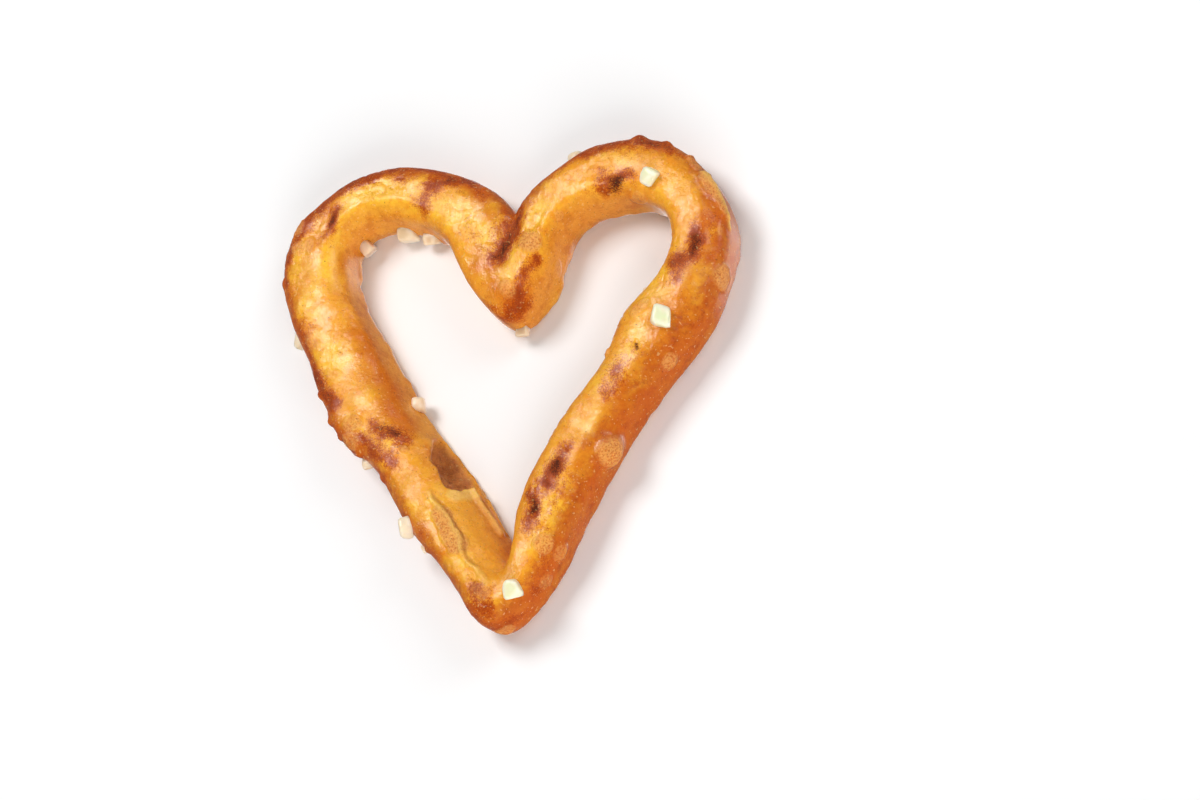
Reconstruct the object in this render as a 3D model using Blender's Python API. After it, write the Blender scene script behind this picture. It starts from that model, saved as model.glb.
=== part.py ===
"""A heart-shaped mini pretzel: one ring of baked dough with coarse salt stuck to it.

The heart lies on its flat back, with its glossy domed front up, its tip toward -Y and
its two round lobes toward +Y. The origin is under the middle of its box, on the surface
that it rests on. Lengths are metres.

The ring is swept over ribs. A rib is one cut across the dough, from a point on the wall
round the hole to a point on the outside wall. A smooth closed curve runs through each
end of the ribs, so that the strand can swell, thin out and fold without crossing itself.
"""

import bmesh
import bpy
import numpy as np
from mathutils import Vector

MM = 0.001

# Driving dimensions
THICKNESS = 4.7 * MM  # from the flat back to the crown of the front
SOLE_CUT = 0.12 * MM  # how much of the round underside the oven band presses flat
SALT = 1.45 * MM  # width of a typical salt grain
SALT_RISE = 0.08  # how far a grain's middle lies above the crust, against its width

# How square the cut across the dough is at its four corners: 2 is round, 6 nearly square
SQUARE_TOP_OUT = 2.6
SQUARE_TOP_IN = 2.8
SQUARE_BACK_IN = 5.0
SQUARE_BACK_OUT = 4.2

# Ribs in mm, counterclockwise from the tip as seen from above: the point on the wall
# round the hole, the point on the outside wall, and the lean, which is how far the
# hole's wall slopes into the hole at the back and out of it at the front
RIBS = (
    ((1.5, -14.8), (0.6, -20.0), 1.1),  # tip
    ((1.9, -13.1), (4.3, -17.0), 0.3),
    ((2.8, -9.1), (7.2, -11.9), 0.0),  # right leg
    ((5.7, -3.8), (10.3, -6.1), 0.0),
    ((9.2, 0.7), (14.0, -1.1), 0.0),
    ((10.5, 4.3), (17.6, 3.2), 0.0),  # knuckle on the inside of the right leg
    ((13.1, 6.8), (18.9, 6.7), 0.0),
    ((14.4, 9.7), (19.4, 10.0), 0.0),  # right lobe
    ((13.9, 12.3), (18.0, 14.3), 0.0),
    ((11.5, 13.8), (14.0, 18.3), 0.1),
    ((8.3, 13.8), (8.9, 19.1), 0.1),
    ((5.4, 12.4), (4.2, 17.2), 0.2),
    ((4.2, 9.1), (1.7, 15.2), 0.4),
    ((1.3, 5.1), (1.1, 14.4), 0.1),  # cleft, where the two lobes are pressed together
    ((-2.8, 8.9), (-0.1, 15.7), 0.0),
    ((-4.6, 12.2), (-2.4, 17.5), 0.0),
    ((-7.7, 14.7), (-7.5, 19.6), 0.4),  # left lobe
    ((-11.5, 15.4), (-12.4, 19.7), 0.3),
    ((-13.8, 13.3), (-18.3, 16.0), 0.0),
    ((-13.4, 10.0), (-19.4, 10.5), 0.2),
    ((-10.9, 5.0), (-17.3, 4.9), 0.5),  # left leg, which slumped toward the hole
    ((-7.5, -1.4), (-14.0, -1.8), 1.0),
    ((-4.5, -5.4), (-10.0, -6.5), 1.1),
    ((-2.0, -9.3), (-7.1, -11.2), 1.3),
    ((0.0, -12.8), (-3.3, -15.9), 1.3),
)

# Places on the strand are a rib number, with a fraction between two ribs, and an angle
# round the cut in degrees: 0 outside, 90 front, 180 the wall round the hole, 270 back.
# Relief in mm: start, end, how far it reaches to each side, and its height
RELIEF = (
    ((2.85, 15), (2.85, 15), 1.9, 0.55),  # raised salt scar on the outside
    ((21.75, 196), (22.35, 194), 1.5, -0.6),  # burst bubble in the hole's wall
    ((21.95, 182), (22.3, 180), 1.4, -0.5),
    ((12.35, 50), (13.25, 88), 1.2, -0.25),  # fold that runs down from the cleft
    ((20.95, 40), (21.45, 25), 1.7, 0.45),  # knobbly outside of the left leg
    ((7.3, 30), (8.1, 38), 0.9, 0.25),  # peeled skin on the right lobe
)

# Salt grains: rib, angle, and width, height and depth against a typical grain
GRAINS = (
    (8.74, 111, 0.85, 1.0, 0.85),  # right lobe, front
    (4.87, 78, 1.1, 0.95, 0.9),  # right leg, front
    (0.59, 64, 0.95, 1.05, 0.9),  # tip, front
    (16.49, 206, 1.1, 1.0, 1.0),  # three that hang into the left lobe
    (15.91, 206, 1.05, 0.7, 0.8),
    (17.62, 204, 0.8, 1.15, 0.9),
    (21.69, 8, 0.7, 0.7, 0.6),  # outside of the left leg
    (23.02, 30, 0.95, 1.35, 0.9),
    (21.25, 4, 0.5, 0.6, 0.4),
    (23.4, 12, 0.5, 0.5, 0.4),
    (20.8, 203, 0.85, 1.1, 0.8),  # wall round the hole
    (13.03, 204, 0.7, 0.6, 0.6),
    (17.9, 352, 1.0, 0.9, 0.9),  # outside of both lobes
    (10.6, 8, 0.9, 1.1, 0.85),
    (19.6, 340, 0.95, 0.85, 0.8),
    (5.7, 196, 0.9, 1.0, 0.8),
)
GRAIN_POINTS = 16  # corners of one grain
GRAIN_BOXINESS = 0.45  # 1 is a ball, lower is closer to a block

# Facets
STEPS_ALONG = 140
STEPS_AROUND = 28


def clear_scene():
    """Remove whatever the new file starts with."""
    for obj in list(bpy.data.objects):
        bpy.data.objects.remove(obj, do_unlink=True)


def closed_spline(knots, places, at):
    """Smooth closed curve through knots, a row each, at the given places along it.

    places has one more entry than knots, the whole way round. The curve is a cubic
    between two knots, and its slope and bend carry over at each.
    """
    count = len(knots)
    step = np.diff(places)
    system = np.zeros((count, count))
    pull = np.zeros_like(knots)
    for i in range(count):
        before, after = step[i - 1], step[i]
        system[i, i - 1] += before
        system[i, i] += 2 * (before + after)
        system[i, (i + 1) % count] += after
        rise_after = (knots[(i + 1) % count] - knots[i]) / after
        rise_before = (knots[i] - knots[i - 1]) / before
        pull[i] = 6 * (rise_after - rise_before)
    bend = np.linalg.solve(system, pull)

    at = np.mod(at, places[-1])
    low = np.clip(np.searchsorted(places, at, side="right") - 1, 0, count - 1)
    high = (low + 1) % count
    span = step[low][:, None]
    back = (places[low + 1] - at)[:, None]
    ahead = (at - places[low])[:, None]
    curved = (bend[low] * back**3 + bend[high] * ahead**3) / (6 * span)
    lines = (knots[low] / span - bend[low] * span / 6) * back
    lines += (knots[high] / span - bend[high] * span / 6) * ahead
    return curved + lines


def rib_places():
    """Distance along the strand at which each rib stands, and the whole way round."""
    middles = np.array([np.add(inner, outer) / 2 for inner, outer, _ in RIBS]) * MM
    steps = np.linalg.norm(np.roll(middles, -1, axis=0) - middles, axis=1)
    return np.concatenate(([0.0], np.cumsum(steps)))


def cut_profile(angles):
    """Across and up, each -1 to 1, of the rounded square cut at the given angles."""
    outside = 0.5 + 0.5 * np.cos(angles)
    front = 0.5 + 0.5 * np.sin(angles)
    outside = outside**2 * (3 - 2 * outside)
    front = front**2 * (3 - 2 * front)
    square = front * (outside * SQUARE_TOP_OUT + (1 - outside) * SQUARE_TOP_IN)
    square += (1 - front) * (outside * SQUARE_BACK_OUT + (1 - outside) * SQUARE_BACK_IN)
    reach = np.abs(np.cos(angles)) ** square + np.abs(np.sin(angles)) ** square
    reach = reach ** (-1 / square)
    return reach * np.cos(angles), reach * np.sin(angles)


def strand_points(along, angles):
    """Points of the plain strand, one for each pair of distance along and angle."""
    places = rib_places()
    knots = np.array([(*inner, *outer, lean) for inner, outer, lean in RIBS]) * MM
    curves = closed_spline(knots, places, along)
    inner, outer, lean = curves[:, 0:2], curves[:, 2:4], curves[:, 4]
    half = (outer - inner) / 2
    across, up = cut_profile(angles)
    sloped = across + lean / np.linalg.norm(half, axis=1) * up * (1 - across) / 2
    plan = (inner + outer) / 2 + half * sloped[:, None]
    return np.column_stack((plan, THICKNESS / 2 * (1 + up)))


def place_on_strand(rib, degrees):
    """Point of the plain strand at a rib number and an angle."""
    places = rib_places()
    along = np.interp(rib, np.arange(len(places)), places)
    return strand_points(np.array([along]), np.array([np.radians(degrees)]))[0]


def nearness(points, start, end, reach):
    """1 on the line from start to end, falling smoothly to 0 at reach from it."""
    line = end - start
    length_squared = max(line @ line, 1e-12)
    share = np.clip((points - start) @ line / length_squared, 0, 1)
    gap = np.linalg.norm(points - start - share[:, None] * line, axis=1) / reach
    left = np.clip(1 - gap**2, 0, 1)
    return left**2


def relief_lift(points):
    """How far the relief pushes each point of the plain strand outward."""
    lift = np.zeros(len(points))
    for start, end, reach, height in RELIEF:
        ends = place_on_strand(*start), place_on_strand(*end)
        lift += height * MM * nearness(points, *ends, reach * MM)
    return lift


def outward(points, rows, columns):
    """Unit normals of a closed grid of points, pointing out of the dough."""
    grid = points.reshape(rows, columns, 3)
    down_strand = np.roll(grid, -1, axis=0) - np.roll(grid, 1, axis=0)
    round_cut = np.roll(grid, -1, axis=1) - np.roll(grid, 1, axis=1)
    normals = np.cross(down_strand, round_cut)
    return (normals / np.linalg.norm(normals, axis=2, keepdims=True)).reshape(-1, 3)


def strand_grid():
    """Vertices and faces of the ring, with its relief and its flat back."""
    total = rib_places()[-1]
    along = np.repeat(np.arange(STEPS_ALONG) * total / STEPS_ALONG, STEPS_AROUND)
    turn = np.arange(STEPS_AROUND) * 2 * np.pi / STEPS_AROUND
    points = strand_points(along, np.tile(turn, STEPS_ALONG))
    normals = outward(points, STEPS_ALONG, STEPS_AROUND)
    points = points + normals * relief_lift(points)[:, None]
    points[:, 2] = np.maximum(points[:, 2] - SOLE_CUT, 0)

    faces = []
    for i in range(STEPS_ALONG):
        for j in range(STEPS_AROUND):
            here = i * STEPS_AROUND
            there = (i + 1) % STEPS_ALONG * STEPS_AROUND
            k = (j + 1) % STEPS_AROUND
            faces.append((here + j, there + j, there + k, here + k))
    return points, faces


def grain_solid(name, rib, degrees, sizes, rng):
    """One salt grain: a lopsided block, seated in the crust."""
    directions = rng.normal(size=(GRAIN_POINTS, 3))
    directions /= np.linalg.norm(directions, axis=1, keepdims=True)
    corners = np.sign(directions) * np.abs(directions) ** GRAIN_BOXINESS
    corners *= SALT / 2 * np.array(sizes) / np.max(np.abs(corners))

    seat = place_on_strand(rib, degrees)
    up = Vector(seat - place_on_strand(rib, degrees + 180)).normalized()
    turn = up.to_track_quat("Z", "Y").to_matrix()
    rise = SALT * SALT_RISE * min(sizes) + relief_lift(seat[None, :])[0]
    middle = Vector(seat) + up * rise - Vector((0, 0, SOLE_CUT))

    bm = bmesh.new()
    for corner in corners:
        bm.verts.new(turn @ Vector(corner) + middle)
    hull = bmesh.ops.convex_hull(bm, input=bm.verts)
    bmesh.ops.delete(bm, geom=hull["geom_interior"], context="VERTS")
    bmesh.ops.recalc_face_normals(bm, faces=bm.faces)
    mesh = bpy.data.meshes.new(name)
    bm.to_mesh(mesh)
    bm.free()
    return bpy.data.objects.new(name, mesh)


def fuse(base, pieces):
    """Join the pieces to the base with one union, then remove them."""
    group = bpy.data.collections.new("salt")
    bpy.context.scene.collection.children.link(group)
    for piece in pieces:
        group.objects.link(piece)
        piece.hide_render = True
        piece.display_type = "WIRE"
    union = base.modifiers.new("salt", "BOOLEAN")
    union.operation = "UNION"
    union.operand_type = "COLLECTION"
    union.collection = group
    union.solver = "MANIFOLD"
    bpy.context.view_layer.objects.active = base
    bpy.ops.object.modifier_apply(modifier=union.name)
    for piece in pieces:
        bpy.data.objects.remove(piece, do_unlink=True)
    bpy.data.collections.remove(group)


def crust_material():
    """Golden baked dough with a glossy skin."""
    material = bpy.data.materials.new("baked crust")
    material.use_nodes = True
    shader = material.node_tree.nodes["Principled BSDF"]
    shader.inputs["Base Color"].default_value = (0.62, 0.24, 0.045, 1)
    shader.inputs["Roughness"].default_value = 0.32
    return material


def main():
    clear_scene()
    points, faces = strand_grid()
    mesh = bpy.data.meshes.new("pretzel")
    mesh.from_pydata(points.tolist(), [], faces)
    mesh.update()
    pretzel = bpy.data.objects.new("pretzel", mesh)
    bpy.context.scene.collection.objects.link(pretzel)

    rng = np.random.default_rng(14)
    grains = []
    for number, (rib, degrees, *sizes) in enumerate(GRAINS):
        grains.append(grain_solid(f"grain_{number}", rib, degrees, sizes, rng))
    fuse(pretzel, grains)

    pretzel.data.materials.clear()
    pretzel.data.materials.append(crust_material())
    for face in pretzel.data.polygons:
        face.use_smooth = True


main()
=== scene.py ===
# %% [markdown]
# # A heart-shaped mini pretzel
#
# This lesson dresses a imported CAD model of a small, crisp, heart-shaped pretzel. The real
# thing is one ring of dough, squeezed out through a heart-shaped die and sliced off, so
# it has smooth walls inside and out, a flat back from the oven band, and a domed front
# that the glaze makes shiny. The oven then blisters and browns the front.
#
# The CAD model is a plain solid of the right size. Here one finely gridded surface takes
# its place, so that the wrinkles, blisters and scars are real relief. The salt grains are
# a second piece.

import bpy
import numpy as np
from mathutils import Matrix, Vector


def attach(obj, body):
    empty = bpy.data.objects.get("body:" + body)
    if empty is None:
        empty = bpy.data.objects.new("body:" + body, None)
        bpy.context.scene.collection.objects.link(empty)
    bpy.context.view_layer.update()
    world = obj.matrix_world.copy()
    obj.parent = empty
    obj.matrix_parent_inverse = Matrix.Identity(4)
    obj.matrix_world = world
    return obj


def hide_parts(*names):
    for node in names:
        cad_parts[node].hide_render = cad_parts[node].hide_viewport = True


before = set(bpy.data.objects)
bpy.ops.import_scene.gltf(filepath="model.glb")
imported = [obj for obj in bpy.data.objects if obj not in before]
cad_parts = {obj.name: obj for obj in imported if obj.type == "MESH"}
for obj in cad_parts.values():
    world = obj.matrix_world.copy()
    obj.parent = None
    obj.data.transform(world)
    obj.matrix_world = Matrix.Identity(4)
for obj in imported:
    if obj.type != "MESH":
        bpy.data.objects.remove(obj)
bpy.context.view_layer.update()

# %% [markdown]
# ## Sizes
#
# The dough is one strand, pressed through a die that gives it its width, with a flat back
# from the oven band. Sizes could be typed in where they are needed, but then a change
# would have to be made in many places. Here nearly everything is worked out from a few
# sizes, which are also the CAD model's, so the dressed pretzel fits the solid.

# %% Driving dimensions
MM = 0.001
THICKNESS = 4.7  # mm, from the flat back to the crown of the front
SOLE_CUT = 0.12  # mm of the round underside that the oven band pressed flat
SALT = 1.45  # mm, width of a typical salt grain
SQUARE_TOP_OUT = 2.6  # how square the cut is at each corner: 2 is round, 6 nearly square
SQUARE_TOP_IN = 2.8
SQUARE_BACK_IN = 5.0
SQUARE_BACK_OUT = 4.2
print(f"dough {THICKNESS - SOLE_CUT:.2f} mm thick, salt grains {SALT} mm wide")

# %% [markdown]
# ## The ribs of the heart
#
# A rib is one cut across the dough: a point on the wall round the hole, a point on the
# outside wall, and a lean, which says how far the hole's wall slopes. A tube along a
# centre line would be simpler, but at the cleft and at the tip the strand turns tighter
# than its own width and a tube would cross itself. Two curves, one for each wall, never
# do. They are the same ribs that the CAD model was made from.

# %% Ribs
# Counterclockwise from the tip, in mm: wall round the hole, outside wall, lean
RIBS = (
    ((1.5, -14.8), (0.6, -20.0), 1.1),  # tip
    ((1.9, -13.1), (4.3, -17.0), 0.3),
    ((2.8, -9.1), (7.2, -11.9), 0.0),  # right leg
    ((5.7, -3.8), (10.3, -6.1), 0.0),
    ((9.2, 0.7), (14.0, -1.1), 0.0),
    ((10.5, 4.3), (17.6, 3.2), 0.0),  # knuckle on the inside of the right leg
    ((13.1, 6.8), (18.9, 6.7), 0.0),
    ((14.4, 9.7), (19.4, 10.0), 0.0),  # right lobe
    ((13.9, 12.3), (18.0, 14.3), 0.0),
    ((11.5, 13.8), (14.0, 18.3), 0.1),
    ((8.3, 13.8), (8.9, 19.1), 0.1),
    ((5.4, 12.4), (4.2, 17.2), 0.2),
    ((4.2, 9.1), (1.7, 15.2), 0.4),
    ((1.3, 5.1), (1.1, 14.4), 0.1),  # cleft, where the two lobes are pressed together
    ((-2.8, 8.9), (-0.1, 15.7), 0.0),
    ((-4.6, 12.2), (-2.4, 17.5), 0.0),
    ((-7.7, 14.7), (-7.5, 19.6), 0.4),  # left lobe
    ((-11.5, 15.4), (-12.4, 19.7), 0.3),
    ((-13.8, 13.3), (-18.3, 16.0), 0.0),
    ((-13.4, 10.0), (-19.4, 10.5), 0.2),
    ((-10.9, 5.0), (-17.3, 4.9), 0.5),  # left leg, which slumped toward the hole
    ((-7.5, -1.4), (-14.0, -1.8), 1.0),
    ((-4.5, -5.4), (-10.0, -6.5), 1.1),
    ((-2.0, -9.3), (-7.1, -11.2), 1.3),
    ((0.0, -12.8), (-3.3, -15.9), 1.3),
)
rib_knots = np.array([(*inner, *outer, lean) for inner, outer, lean in RIBS])
rib_middles = (rib_knots[:, 0:2] + rib_knots[:, 2:4]) / 2
rib_steps = np.linalg.norm(np.roll(rib_middles, -1, axis=0) - rib_middles, axis=1)
RIB_PLACES = np.concatenate(([0.0], np.cumsum(rib_steps)))
LENGTH = RIB_PLACES[-1]
print(f"{len(RIBS)} ribs, {LENGTH:.1f} mm once round the heart")


# %% [markdown]
# ## A smooth closed curve through points
#
# A cubic spline keeps its slope and its bend from one piece to the next, so no rib shows
# as a kink in the crust. Being closed, it has no ends to fix: the bends at the ribs are
# one small linear system, which numpy solves at once.


# %% Closed spline
def closed_spline(knots, places, at):
    """Closed cubic curve through knots, a row each, read at the places in at.

    Between knots i and i+1 it is a straight blend of the two, plus a term in the cube of
    the distance to each, weighted with the bend there. The bends make slopes agree.
    """
    count = len(knots)
    step = np.diff(places)
    system = np.zeros((count, count))
    pull = np.zeros_like(knots)
    for i in range(count):
        before, after = step[i - 1], step[i]
        system[i, i - 1] += before
        system[i, i] += 2 * (before + after)
        system[i, (i + 1) % count] += after
        rise_after = (knots[(i + 1) % count] - knots[i]) / after
        rise_before = (knots[i] - knots[i - 1]) / before
        pull[i] = 6 * (rise_after - rise_before)
    bend = np.linalg.solve(system, pull)
    at = np.mod(at, places[-1])
    low = np.clip(np.searchsorted(places, at, side="right") - 1, 0, count - 1)
    high = (low + 1) % count
    span = step[low][:, None]
    back = (places[low + 1] - at)[:, None]
    ahead = (at - places[low])[:, None]
    curved = (bend[low] * back**3 + bend[high] * ahead**3) / (6 * span)
    lines = (knots[low] / span - bend[low] * span / 6) * back
    lines += (knots[high] / span - bend[high] * span / 6) * ahead
    return curved + lines


knuckle = closed_spline(rib_knots, RIB_PLACES, RIB_PLACES[5:6])[0]
print("the curves pass the knuckle at", knuckle[:4].round(2))


# %% [markdown]
# ## The rounded square cut
#
# Break a pretzel and the broken face is neither round nor square. The front is domed,
# because the skin shrank there, and the back has nearly sharp corners. A circle swept
# along the heart would miss that, and a drawn outline would need many points. A rounded
# square needs one number, its power: 2 is a circle, and a higher one is squarer. Here the
# power changes smoothly from corner to corner.


# %% Cut profile
def cut_profile(turn):
    """Across and up, -1 to 1, of the rounded square cut at the angles in turn.

    The cut is |across| to the power n plus |up| to the power n equals 1, and n goes
    smoothly from one corner's squareness to the next.
    """
    outside = 0.5 + 0.5 * np.cos(turn)
    front = 0.5 + 0.5 * np.sin(turn)
    outside = outside**2 * (3 - 2 * outside)
    front = front**2 * (3 - 2 * front)
    square = front * (outside * SQUARE_TOP_OUT + (1 - outside) * SQUARE_TOP_IN)
    square += (1 - front) * (outside * SQUARE_BACK_OUT + (1 - outside) * SQUARE_BACK_IN)
    reach = np.abs(np.cos(turn)) ** square + np.abs(np.sin(turn)) ** square
    reach = reach ** (-1 / square)
    return reach * np.cos(turn), reach * np.sin(turn)


print("front corner, across and up:", np.ravel(cut_profile(np.radians([45.0]))).round(2))


# %% [markdown]
# ## Places on the strand
#
# Every place on the dough is two numbers: how far along the heart it is, and which way
# round the cut it faces. 0 degrees is the outside wall, 90 the front, 180 the wall round
# the hole and 270 the back. Scars, marks and salt are all placed with a rib number and
# such an angle, which is easier to read off a real pretzel than x, y and z.


# %% Strand points
def strand_points(along, turn):
    """Points of the plain strand in mm at distances along it and angles round the cut.

    Each is the rib's middle, plus its half width times the profile's across, raised by
    half the thickness times the profile's up. Lean slides the hole's wall with height.
    """
    curves = closed_spline(rib_knots, RIB_PLACES, along)
    inner, outer, lean = curves[:, 0:2], curves[:, 2:4], curves[:, 4]
    half = (outer - inner) / 2
    across, up = cut_profile(turn)
    sloped = across + lean / np.linalg.norm(half, axis=1) * up * (1 - across) / 2
    plan = (inner + outer) / 2 + half * sloped[:, None]
    return np.column_stack((plan, THICKNESS / 2 * (1 + up)))


def on_strand(rib, degrees):
    """One point of the plain strand at a rib number and an angle."""
    along = np.interp(rib, np.arange(len(RIB_PLACES)), RIB_PLACES)
    return strand_points(np.array([along]), np.array([np.radians(degrees)]))[0]


print("middle of the tip's front:", on_strand(0, 90).round(2))

# %% [markdown]
# ## The grid
#
# The crust is a closed grid: rows along the strand, columns round the cut. Detail is
# wanted on the front, which catches the light, and hardly at all on the back. So the
# columns are spread with a sine, closer together on the front. The seam between the last
# and the first column lies in the middle of the back, and the grid closes there and at
# the tip by counting round, so no edge is left open.

# %% Crust grid
ROWS = 764
COLUMNS = 130
FRONT_CROWDING = 0.3  # 0 spreads the columns evenly, nearer 1 crowds them to the front

share_along = np.arange(ROWS) / ROWS
share_round = np.arange(COLUMNS) / COLUMNS
crowded = share_round + FRONT_CROWDING * np.sin(2 * np.pi * share_round) / (2 * np.pi)
turn_of_column = 2 * np.pi * crowded - np.pi / 2  # from the back, past the outside

along = np.repeat(share_along * LENGTH, COLUMNS)
turn = np.tile(turn_of_column, ROWS)
plain = strand_points(along, turn)


def grid_normals(points):
    """Unit normals of the closed grid: the cross product of its two directions."""
    grid = points.reshape(ROWS, COLUMNS, 3)
    down_strand = np.roll(grid, -1, axis=0) - np.roll(grid, 1, axis=0)
    round_cut = np.roll(grid, -1, axis=1) - np.roll(grid, 1, axis=1)
    normals = np.cross(down_strand, round_cut)
    return (normals / np.linalg.norm(normals, axis=2, keepdims=True)).reshape(-1, 3)


normals = grid_normals(plain)
print(f"{len(plain)} points, {2 * len(plain)} triangles")

# %% [markdown]
# ## Ramps and noise
#
# Dough has no sharp steps and no two spots alike. A ramp turns a range of values into 0
# to 1 with soft ends. Noise gives soft random hills of a chosen size. A picture of noise
# laid over the strand would show a seam. This noise is read at a point in space instead,
# so it has none, and the same point always gives the same height.

# %% Ramp and noise
LATTICE = 48
lattice = np.random.default_rng(5).random((LATTICE, LATTICE, LATTICE))


def ramp(values, low, high):
    """0 below low, 1 above high, and 3x^2 - 2x^3 between, with no sharp corner."""
    share = np.clip((values - low) / (high - low), 0, 1)
    return share**2 * (3 - 2 * share)


def noise(points, size, shift=0.0):
    """Random hills from 0 to 1, about size mm across.

    Each corner of a cubic lattice holds a random height, and a point blends its eight
    corners, weighted with a ramp along each axis.
    """
    spot = points / size + 11.3 * shift + 100.0
    corner = np.floor(spot).astype(int)
    blend = ramp(spot - corner, 0, 1)
    total = np.zeros(len(points))
    for dx in (0, 1):
        for dy in (0, 1):
            for dz in (0, 1):
                side = np.array((dx, dy, dz))
                weight = np.prod(np.where(side == 1, blend, 1 - blend), axis=1)
                x, y, z = ((corner + side) % LATTICE).T
                total += weight * lattice[x, y, z]
    return total


print(f"hills of 2 mm run from {noise(plain, 2).min():.2f} to {noise(plain, 2).max():.2f}")

# %% [markdown]
# ## Marks
#
# A browned spot, a scar or a crack is a place with an uneven outline. Painting them by
# hand would need a picture. A mark is a weight worked out at every point of the grid: 1
# along a short line on the crust, falling to 0 at its reach. Before the distance is
# taken, each point strays a little with the noise, which makes the outline ragged. One
# mark can lift the surface and brown it too.

# %% Marks
SLOW_STRAY = 1.9  # mm, size of the bends in a mark's outline
QUICK_STRAY = 0.6  # mm, size of the teeth along it
TEETH = 0.3  # how far the teeth reach, against the bends


def wander(points):
    """A slow and a quick noise along each axis, in mm, to make an outline stray."""
    slow = [noise(points, SLOW_STRAY, 20 + axis) - 0.5 for axis in range(3)]
    quick = [noise(points, QUICK_STRAY, 24 + axis) - 0.5 for axis in range(3)]
    return np.column_stack(slow) + TEETH * np.column_stack(quick)


stray = wander(plain)


def line_gap(spots, start, end):
    """Distance in mm from each spot to the line between two places on the strand."""
    first, last = on_strand(*start), on_strand(*end)
    line = last - first
    share = np.clip((spots - first) @ line / max(line @ line, 1e-9), 0, 1)
    return np.linalg.norm(spots - first - share[:, None] * line, axis=1)


def mark(start, end, reach, ragged=0.3, soft=0.6):
    """Weight of a mark from start to end, each a rib number and an angle in degrees.

    It is a ramp of the distance to the line between them, over the reach in mm. The
    points stray by ragged mm before the distance is taken, so the outline is uneven.
    """
    return ramp(1 - line_gap(plain + ragged * stray, start, end) / reach, 0, soft)


print(f"outlines stray up to {np.abs(stray).max():.2f} of their raggedness")

# %% [markdown]
# ## Sides of the crust
#
# The glazed front, the cut walls and the back each have their own skin. Splitting the
# mesh there would show a line. Each side is a weight round the cut instead, with a soft
# and slightly wavy edge, so that one skin fades into the next.

# %% Sides
wavy = turn + 0.35 * stray[:, 0]
front = ramp(np.sin(turn), 0.1, 0.75)
outside = ramp(np.cos(wavy), 0.35, 0.95)
shoulder = ramp(np.cos(wavy), 0.2, 0.75)
inside = ramp(-np.cos(wavy), 0.45, 0.97)
back = ramp(-np.sin(wavy), 0.6, 0.95)
print(f"front skin covers {front.mean():.0%} of the grid")

# %% [markdown]
# ## Large relief
#
# These forms are in the CAD solid too: a raised scar where a salt grain popped off, the
# crater of a burst bubble, the fold that runs down from the cleft, and knobs on the
# slumped leg. They are moved along the surface's normals, so a bump stands straight up
# from whichever side it is on.

# %% Large relief
LARGE_RELIEF = (
    # start, end, reach in mm, height in mm
    ((2.85, 15), (2.85, 15), 1.9, 0.55),  # raised salt scar on the outside
    ((21.75, 196), (22.35, 194), 1.5, -0.6),  # burst bubble in the hole's wall
    ((21.95, 182), (22.3, 180), 1.4, -0.5),
    ((12.35, 50), (13.25, 88), 1.2, -0.25),  # fold that runs down from the cleft
    ((20.95, 40), (21.45, 25), 1.7, 0.45),  # knobbly outside of the left leg
    ((7.3, 30), (8.1, 38), 0.9, 0.25),  # peeled skin on the right lobe
)


def dome(start, end, reach):
    """A hump along a line: 1 minus the squared distance over the reach, all squared."""
    return np.clip(1 - (line_gap(plain, start, end) / reach) ** 2, 0, 1) ** 2


lift = np.zeros(len(plain))
for start, end, reach, height in LARGE_RELIEF:
    lift += height * dome(start, end, reach)
print(f"large relief from {lift.min():.2f} to {lift.max():.2f} mm")

# %% [markdown]
# ## Swollen dough and crinkled skin
#
# Dough is never even: slow noise makes the strand swell and sink a little. On the front
# the glazed skin dries first, then shrinks and crinkles. That is ridged noise, which folds
# its hills over so that they meet in creases. A bump in the material alone would leave the
# outline smooth, so both are real relief. The walls that slid through the die stay smooth.

# %% Swell and crinkles
SWELL = 0.22  # mm
LUMPS = 0.31
CRINKLES = 0.12
GRAININESS = 0.05


def creases(points, size, shift=0.0):
    """Noise folded at its middle: 1 along thin creases, falling to 0 away from them."""
    return 1 - np.abs(2 * noise(points, size, shift) - 1)


lift += SWELL * (noise(plain, 4.2) - 0.5)
lift += LUMPS * (noise(plain, 2.1, 1) - 0.5) * (0.2 + 0.8 * front)

warped = plain + 0.35 * (noise(plain, 1.1, 2)[:, None] - 0.5) * normals
crinkled = front * ramp(noise(plain, 2.6, 3), 0.4, 0.65)
fine = 0.6 * creases(warped, 0.95, 4) ** 3 + 0.4 * creases(plain, 0.5, 5) ** 2
lift -= CRINKLES * crinkled * fine
lift += GRAININESS * front * (noise(plain, 0.7, 6) - 0.5)
print(f"crinkles cover {(crinkled > 0.5).mean():.0%} of the grid")

# %% [markdown]
# ## Knobs and ragged rims
#
# Small lumps stick out where bubbles rose under the skin, mostly on the outer rim. They
# are placed one by one, because they show in the outline. The rim of the back is ragged
# where the dough stuck to the band, more so round the hole. That is noise, as nobody
# would place each tooth.

# %% Knobs and rims
RAGGED_RIM = 0.8  # mm
KNOBS = (
    # rib, angle, reach and height in mm
    (9.4, 36, 0.9, 0.32),  # outer rim of the right lobe
    (8.95, 28, 0.6, 0.22),
    (8.5, 26, 0.55, 0.22),
    (8.1, 24, 0.5, 0.2),
    (7.6, 18, 0.6, 0.15),
    (20.6, 34, 0.6, 0.2),  # outside of the left leg
    (20.95, 30, 0.5, 0.22),
    (21.2, 26, 0.45, 0.2),
    (21.6, 30, 0.5, 0.2),
    (21.85, 214, 0.5, 0.3),  # ear beside the crater
    (22.1, 30, 0.6, 0.18),
    (23.5, 28, 0.5, 0.18),
    (14.6, 36, 0.5, 0.16),  # beside the cleft
    (18.9, 30, 0.7, 0.15),
)

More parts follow.
